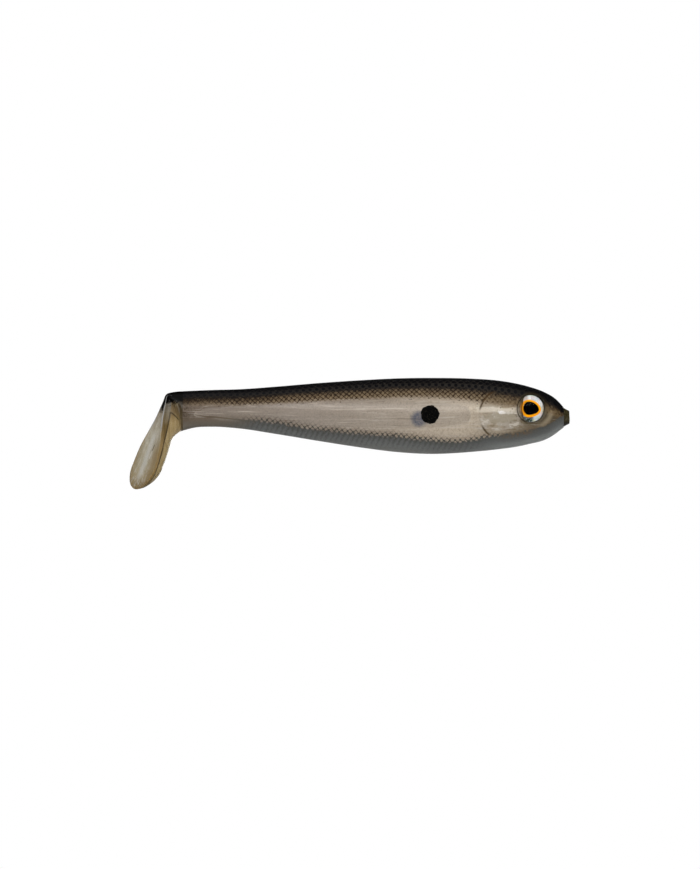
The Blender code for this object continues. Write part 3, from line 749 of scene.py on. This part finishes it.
cast_resin, make = plastic("clear cast resin", 0.02)
make.set("Transmission Weight", 1)
make.set("IOR", 1.12)
tint = make.ramp(make.noise(make.place(), 0.5), ((0.3, (0.94, 0.96, 0.95)), (0.7, 1)))
make.set("Base Color", tint)
clear, rays, swap = make.node("BsdfTransparent"), make.node("LightPath"), make.node("MixShader")
for socket, value in zip(swap.inputs, (rays.outputs["Is Shadow Ray"], make.shader.outputs[0], clear.outputs[0])):
    make.put(socket, value)
make.put(cast_resin.node_tree.nodes["Material Output"].inputs[0], swap.outputs[0])

ROUND = turns(96)
for side, side_name in SIDES:
    eye_solid("eye_backing_disc_" + side_name, side, (0, 0), (DISC * np.cos(ROUND), DISC * np.sin(ROUND)), None,
              0.0, 0.5, 0.05, prism_foil, "eye_backing_" + side_name)
    eye_solid("iris_print_" + side_name, side, EGG_MIDDLE, egg(ROUND, 3.9, 2.75, 2.62, 2.95),
              egg(ROUND, 3.2, 1.72, 2.0, 2.1), 0.52, 0.62, 0.03, orange_print,
              "iris_ring_" + side_name)
    eye_solid("pupil_print_" + side_name, side, EGG_MIDDLE, egg(ROUND, 3.25, 1.77, 2.05, 2.15), None,
              0.52, 0.70, 0.06, black_print, "pupil_" + side_name)
    # The dome: a flat foot over the print, and a crown whose height falls as a circle's does.
    middle, forward, up, outward = eye_frame(side)
    crown = np.linspace(np.pi / 2, 0.02, 26)
    shares = np.concatenate([[0.02, 0.5, 1.0], np.sin(crown)])
    rises = np.concatenate([[0.74, 0.74, 0.74], 0.95 + 1.15 * np.cos(crown) ** 1.3])
    out = DOME * shares[:, None]
    rings = (middle + np.multiply.outer(out * np.cos(ROUND), forward) + np.multiply.outer(out * np.sin(ROUND), up)
             + (rises - SEAT_DEPTH)[:, None, None] * outward)
    dome = ring_mesh("eye_dome_cast_" + side_name, rings, {}, cast_resin)
    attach(dome, "front_body")
    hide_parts("eye_dome_" + side_name)

# -----------------------------------------------------------------------------
# Side spots: a thick round dab of black granular ink on each flank, drawn in by hand and a little ragged.

SPOT_MIDDLE, SPOT_RADIUS, SPOT_STANDS = (-44.5, 0.85), 2.92, 0.24  # it stands this far off the skin

spot_ink, make = plastic("granular black ink", 0.5)
place = make.place()
crumb_and_glints = make.noise(place, 3.4, 4, 0.8)
# The lightest crumbs are painted highlights on the grains of ink.
make.set("Base Color", make.paints(crumb_and_glints, (0.35, 1, 1, 2), (0.6, 4, 4, 5), (0.68, 84, 78, 68)))
make.set("Specular IOR Level", 0.05)
make.bump(make.plus(make.cells(place, 3.2)["Distance"], crumb_and_glints), 0.0002)


def ragged(angle, reach):
    """Small waves of an edge or a surface: a few sines of the angle and the reach, added up."""
    return (np.sin(5 * angle + 1.3 + 2 * reach) + 0.7 * np.sin(11 * angle - 3 * reach + 0.4)
            + 0.5 * np.sin(23 * angle + 5 * reach) + 0.6 * np.sin(7 * reach + 3 * angle))


for side, side_name in SIDES:
    angle = turns(120)[None, :]
    share = np.array([0.02, 0.2, 0.36, 0.5, 0.62, 0.72, 0.8, 0.87, 0.92, 0.96, 0.985, 1.0, 1.0, 0.6, 0.02])[:, None]
    stands = np.array([1.0, 1.0, 1.0, 1.0, 1.0, 1.0, 0.98, 0.93, 0.84, 0.66, 0.4, 0.05, -1.2, -1.2, -1.2])[:, None]
    reach = SPOT_RADIUS * share * (1 + 0.026 * ragged(angle, 0) * smooth((share - 0.4) / 0.6))
    grains = 0.035 * ragged(angle, 4 * reach) * (stands > 0.5)
    points = flank_point(SPOT_MIDDLE[0] + reach * np.cos(angle), SPOT_MIDDLE[1] + reach * np.sin(angle), side)
    points[..., 1] += side * (SPOT_STANDS * stands + grains)
    dab = ring_mesh("spot_dab_" + side_name, points, {}, spot_ink)
    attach(dab, "front_body")
    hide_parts("side_spot_" + side_name)

# -----------------------------------------------------------------------------
# Nose plug: a dark olive stopper of firmer plastic, a short cone with a worn face, pushed into the nose
# on a round stem. The seam round its foot shows.

plug_plastic, make = plastic("olive plug plastic", 0.38, 0.2)
place = make.place()
mottle = make.noise(place, 1.3, 4, 0.6)
colour = make.paints(mottle, (0.3, 38, 34, 20), (0.55, 66, 60, 40), (0.75, 84, 80, 60))
# Painted shade darkens the stopper's underside.
painted_underside_shade = make.fade(make.split(place)[2], -2.6, -0.6, 0.85)
make.set("Base Color", make.lay(colour, (16, 15, 10), painted_underside_shade))
make.bump(mottle, 0.0002, 0.5)

# Its profile from the face back to the end of the stem: places along X, and radii.
PLUG_LINE = np.array((
    (-0.35, -0.12, -0.02, 0.0, -0.06, -0.25, -0.8, -1.4, -1.75, -1.9, -1.98, -2.0, -2.15, -2.6, -9.0),
    (0.02, 0.6, 1.3, 1.75, 2.02, 2.14, 2.42, 2.74, 2.94, 3.0, 2.98, 2.7, 2.2, 1.6, 1.5)))
angle = turns(80)[None, :]
plug_x, plug_r = PLUG_LINE[0][:, None], PLUG_LINE[1][:, None]
plug_x = plug_x + 0.05 * np.sin(2 * angle) * (plug_r < 2.2) * (plug_r > 0.5)
plug_r = plug_r * (1 + 0.012 * np.sin(3 * angle + 1) + 0.01 * np.sin(7 * angle))
points = np.stack([plug_x, 1.02 * plug_r * np.cos(angle), plug_r * np.sin(angle)], -1)
plug = ring_mesh("nose_stopper", points, {}, plug_plastic)
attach(plug, "front_body")
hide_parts("nose_plug")

# -----------------------------------------------------------------------------
# Boot tail: poured in one with the body in clear smoke plastic. Behind the wrist it turns down through a
# heel and spreads into a paddle, a thin leaf with a rib along its front. It is kicked to the right.

KICK, BOOT_LEAN = math.radians(28), math.tan(math.radians(19.6))  # the turn, and the rear face's slope
WRIST_PIVOT = (-0.3, -8.5)  # sections fan out about this point, below the wrist, as they go round the heel
HEEL_TOP, HEEL_REAR = 8.25, -5.8
BOOT_START = 122.6  # mm behind the nose, where the tail's own frame begins
TIP_TOP, TIP_DROP = -16.1, 6.75  # the tip is half an ellipse
# By height on the rear face: half widths of the leaf and the rib, and thicknesses of the leaf and of the whole.
LEAF_LINE = ((-16.1, -12.3, -8.5, -4.7, -0.9, 2.9, 6.7, 8.3), (8.8, 8.2, 7.15, 5.1, 3.1, 1.8, 0.9, 0.7))
RIB_LINE = ((-16.1, -12.3, -8.5, -4.7, -0.9, 2.9, 8.3), (8.1, 6.9, 5.0, 3.9, 3.5, 3.4, 3.3))
PLATE_LINE = ((-16.1, -12.3, -8.5, -4.7, 0, 8.3), (0.65, 0.75, 0.95, 1.1, 0.9, 0.5))
THICK_LINE = ((-16.1, -12.3, -8.5), (5.2, 6.0, 6.45))


def boot_run(run):
    """Where a section lies: its fan angle, its height at the rear face, and inner and outer reach.

    run goes 0 to 1 round the heel, 1 to 2 straight down, and 2 to 3 through the tip.
    """
    fan = np.clip(run, 0, 1) * np.pi / 2
    pivot_x, pivot_z = WRIST_PIVOT
    over = (HEEL_TOP - pivot_z - 0.9 * (fan / 0.36) ** 2 * (fan < 0.6)) / np.cos(np.minimum(fan, 1.2))
    behind = (pivot_x - HEEL_REAR + (HEEL_TOP - pivot_z) * BOOT_LEAN) / (np.sin(fan) + BOOT_LEAN * np.cos(fan))
    outer = -np.log(np.exp(-over / 0.35) + np.exp(-behind / 0.35)) * 0.35  # the nearer of the two, rounded
    inner = through(((0, 0.35, 0.8, 1.2, 1.5708), (4.15, 4.0, 4.1, 4.5, 5.01)), fan)
    tip = np.clip(run - 2, 0, 1) * np.pi / 2
    level = pivot_z + (TIP_TOP - pivot_z) * np.clip(run - 1, 0, 1) - TIP_DROP * np.sin(tip)
    rear_z = np.where(run < 1, pivot_z + outer * np.cos(fan), level)
    return fan, outer, inner, level, rear_z, np.cos(tip)


def boot_surface(run, step):
    """A point of the boot in the tail's own frame, with its paint guides.

    step runs 0 to 4 down one side of a section: the rib's front, its flank, the leaf's rim and its rear face.
    Past 4 it comes back up the other side. Each stretch is a quarter of a superellipse but the last, a line.
    """
    fan, outer, inner, level, rear_z, closing = boot_run(run)
    low = run > 1
    thick = np.where(low, through(THICK_LINE, np.maximum(level, TIP_TOP)) * closing ** 1.2, outer - inner)
    key = np.maximum(rear_z, TIP_TOP)
    leaf, rib = through(LEAF_LINE, key) * closing, through(RIB_LINE, key) * closing
    plate = np.minimum(through(PLATE_LINE, key), 0.4 * thick)
    widest = np.maximum(np.clip(0.5 - 0.022 * (6 - rear_z), 0.22, 0.5) * thick, 1.15 * plate)
    rounding = np.minimum(0.45 * plate, 0.3)
    side, one = np.where(step > 4, 1.0, -1.0), np.where(step > 4, 8 - step, step)
    front, flank, rim = (np.clip(one - k, 0, 1) * np.pi / 2 for k in range(3))
    inwards = np.clip(one - 3, 0, 1)
    across = rib * np.sin(front) ** (2 / 2.15)
    forth = widest + (thick - widest) * np.cos(front) ** (2 / 2.15)
    across = np.where(one > 1, leaf + (rib - leaf) * np.cos(flank) ** 0.9, across)
    forth = np.where(one > 1, widest - (widest - plate) * np.sin(flank), forth)
    across = np.where(one > 2, leaf - rounding * (1 - np.cos(rim)), across)
    forth = np.where(one > 2, plate * (1 - np.sin(rim) ** 1.2), forth)
    across = np.where(one > 3, (leaf - rounding) * (1 - inwards), across)
    forth = np.where(one > 3, 0.035 * leaf * (1 - (1 - inwards) ** 2), forth)

    # A plain superellipse at the wrist, turning into the boot's own section over the heel.
    own, half_turn = smooth(run / 0.27), one / 4 * np.pi
    wrist_across = 3.42 * np.sin(half_turn) ** (2 / SECTION_POWER)
    wrist_forth = (outer - inner) / 2 * (1 + power_wave(np.cos(half_turn), SECTION_POWER))
    across = wrist_across + (across - wrist_across) * own
    forth = wrist_forth + (forth - wrist_forth) * own

    # Sections fan out round the heel and lie level below it, and the whole boot is turned by its kick.
    reach, (pivot_x, pivot_z) = outer - forth, WRIST_PIVOT
    x = np.where(low, HEEL_REAR - (HEEL_TOP - level) * BOOT_LEAN + forth, pivot_x - reach * np.sin(fan))
    z = np.where(low, level, pivot_z + reach * np.cos(fan))
    y, turned = side * across, KICK * smooth(run / 0.3)
    points = np.stack([x * np.cos(turned) - y * np.sin(turned), x * np.sin(turned) + y * np.cos(turned), z], -1)
    on_leaf = smooth((one - 2.6) / 0.6) * smooth((run - 0.15) / 0.1)
    return points, {"from_face": forth, "leaf": on_leaf, "past_rim": one - 2, "fore": x, "across": y,
                    "wrist_way": run * 8}


# The boot's paint: flesh and leaf by height, then the rim, the dark lines and the overspray.
tail_plastic, make = plastic("clear smoke tail plastic", 0.24, 0.3, 0.2)
span, fade, near, times, plus, less, lay = make.brushes()
place = make.place()
_, _, z = make.split(place)
leaf, past_rim, from_face, fore, across, wrist_way = make.fields(
    "leaf", "past_rim", "from_face", "fore", "across", "wrist_way")
height = make.math("DIVIDE", plus(z, 23), 31)
grain = make.noise(place, 2.6, 4, 0.7)
smears = make.noise(make.stretch(place, (0.9, 0.9, 0.16)), 1.1, 4, 0.65)

# Flesh of the rib and heel: olive tan, streaked along its length.
flesh = make.paints(height, (0, 150, 128, 84), (0.3, 172, 152, 110), (0.55, 178, 156, 114),
                    (0.68, 166, 144, 102), (0.8, 120, 101, 72), (0.9, 92, 78, 58), (1, 60, 50, 38))
flesh = lay(flesh, (190, 174, 140), span(smears, 0.5, 0.7, 0, 0.5))
flesh = lay(flesh, (122, 102, 66), span(smears, 0.46, 0.36, 0, 0.4))

# The leaf's rear face: paler, with one long soft painted highlight band, a brown rim, and a slit where it was cut
# free.
pale = make.paints(height, (0, 140, 118, 80), (0.08, 166, 146, 110), (0.14, 192, 176, 144),
                   (0.25, 200, 188, 160), (0.6, 202, 192, 170), (0.74, 176, 164, 144), (1, 90, 84, 74))
pale = lay(pale, (226, 221, 206), span(smears, 0.5, 0.62, 0, 0.55))
pale = lay(pale, (172, 158, 132), span(smears, 0.46, 0.36, 0, 0.4))
pale = lay(pale, (234, 232, 224), near(less(across, times(plus(z, 16), -0.12)), 0.9, 0.4, 2.6, 0.6),
           span(z, -3, -7), span(z, -21.5, -17.5))
pale = lay(pale, (150, 126, 84), fade(past_rim, 1, 1.55), span(z, -4, -14, 0.15, 0.6))
# The slit: a dark line, and a painted highlight below it.
slit = near(plus(across, times(plus(z, 9.8), 0.157)), -2.4, 0.15, 0.5, 0.75)
pale = lay(pale, (92, 86, 74), slit, near(z, -9.8, 0.7, 1.3))
pale = lay(pale, (240, 238, 230), slit, near(z, -12, 0.9, 1.7))
pale = lay(pale, (168, 142, 100), span(across, -1, -6.5, 0, 0.75), span(z, -4, -12))
colour = make.mix(leaf, flesh, pale)

# The rim: dark olive where it turns; high up, a painted blue-grey sheen and a pale painted highlight line.
crease_at = make.ramp(height, ((0.2, 0.95), (0.3, 1.35), (0.4, 1.85), (0.5, 2.25), (0.65, 2.35), (0.8, 2.3)))
wobble = times(less(grain, 0.5), 0.35)
past_crease = plus(less(from_face, crease_at), wobble)
rim_colour_and_sheen = make.paints(height, (0, 120, 98, 58), (0.45, 128, 104, 64), (0.66, 104, 86, 54),
                         (0.8, 120, 112, 96), (1, 110, 110, 110))
colour = make.mix(times(fade(past_crease, -0.3, 0), fade(past_rim, 0.75, 1.05), 0.9), colour, rim_colour_and_sheen)
behind = fade(fore, -4.7, -4.1)
# A pale painted highlight along the rim's edge, high up.
colour = lay(colour, (186, 188, 190), near(past_rim, 0.95, 0.1, 0.4, 0.75), span(z, -5.5, -1.5), behind)
colour = make.shaded(colour, make.ramp(grain, ((0.32, 0.78), (0.5, 0.96), (0.65, 1))))

# Dark lines: painted shade along the crease behind the rim, the arm of the V up to the seam, and the wrist's seam
# itself.
crease = times(near(past_crease, 0, 0.1, 0.42, 0.85), fade(z, 1.4, 2), fade(past_rim, 0, 0.2))
arm_way = plus(times(plus(fore, 5.88), 0.63), times(less(z, 1.34), 0.776), wobble)
arm = times(near(arm_way, 0, 0.1, 0.38, 0.85), near(z, 0.4, 1, 1.4))
seam = times(fade(wrist_way, 0.4, 1.3, 0.85), span(grain, 0.3, 0.5, 0.7, 1))
lines = make.math("MAXIMUM", crease, make.math("MAXIMUM", arm, seam))
colour = lay(colour, (56, 48, 34), lines)

# Black overspray from the back, thick on the heel's top, in specks down its rear and sides, thin on the rim.
spray = times(make.noise(place, 1.5, 4, 0.75), 1.1)
cover = span(plus(span(plus(z, times(leaf, 2.2)), 0, 8.4, -0.42, 0.62), spray), 0.54, 0.8)
bare_rim = times(near(past_rim, 0.95, 0.15, 0.45), fade(z, 6.2, 7.2, 0.8), behind)
cover = times(cover, less(1, bare_rim))
make.set("Base Color", lay(colour, (13, 12, 11), cover))
make.set("Coat Weight", less(0.25, times(cover, 0.25)))
make.bump(plus(times(smears, 1.5), less(grain, lines)), 0.0002, 0.3)

# The grid is finer round the heel and at the rib's front.
run = np.concatenate([np.linspace(0, 0.4, 26), np.linspace(0.42, 1, 22), np.linspace(1.04, 2, 26),
                      2 + np.linspace(0.03, 0.995, 26)])[:, None]
half = np.concatenate([np.linspace(0, 1, 21), np.linspace(1, 2, 11)[1:], np.linspace(2, 3, 7)[1:],
                       np.linspace(3, 4, 13)[1:]])
step = np.concatenate([half, 8 - half[-2:0:-1]])[None, :]
points, fields = boot_surface(run, step)
points[..., 0] -= BOOT_START
boot = ring_mesh("boot_tail", points, fields, tail_plastic)
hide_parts("tail_heel", "paddle_blade")
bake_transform(boot)

# -----------------------------------------------------------------------------
# Insides, out of sight: the pearl foil folded round the hollow keeps its CAD shape.

foil_material, make = plastic("pearl foil", 0.25)
creases = make.noise(make.stretch(make.place(), (0.5, 1, 1)), 1.4, 4.0, 0.7)
make.set("Base Color", make.paints(creases, (0.35, 150, 138, 118), (0.65, 226, 218, 204)))
make.set("Metallic", 0.8)
make.bump(creases, 0.0003)
for node in ("foil_liner_front", "foil_liner_rear"):
    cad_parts[node].data.materials.clear()
    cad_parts[node].data.materials.append(foil_material)
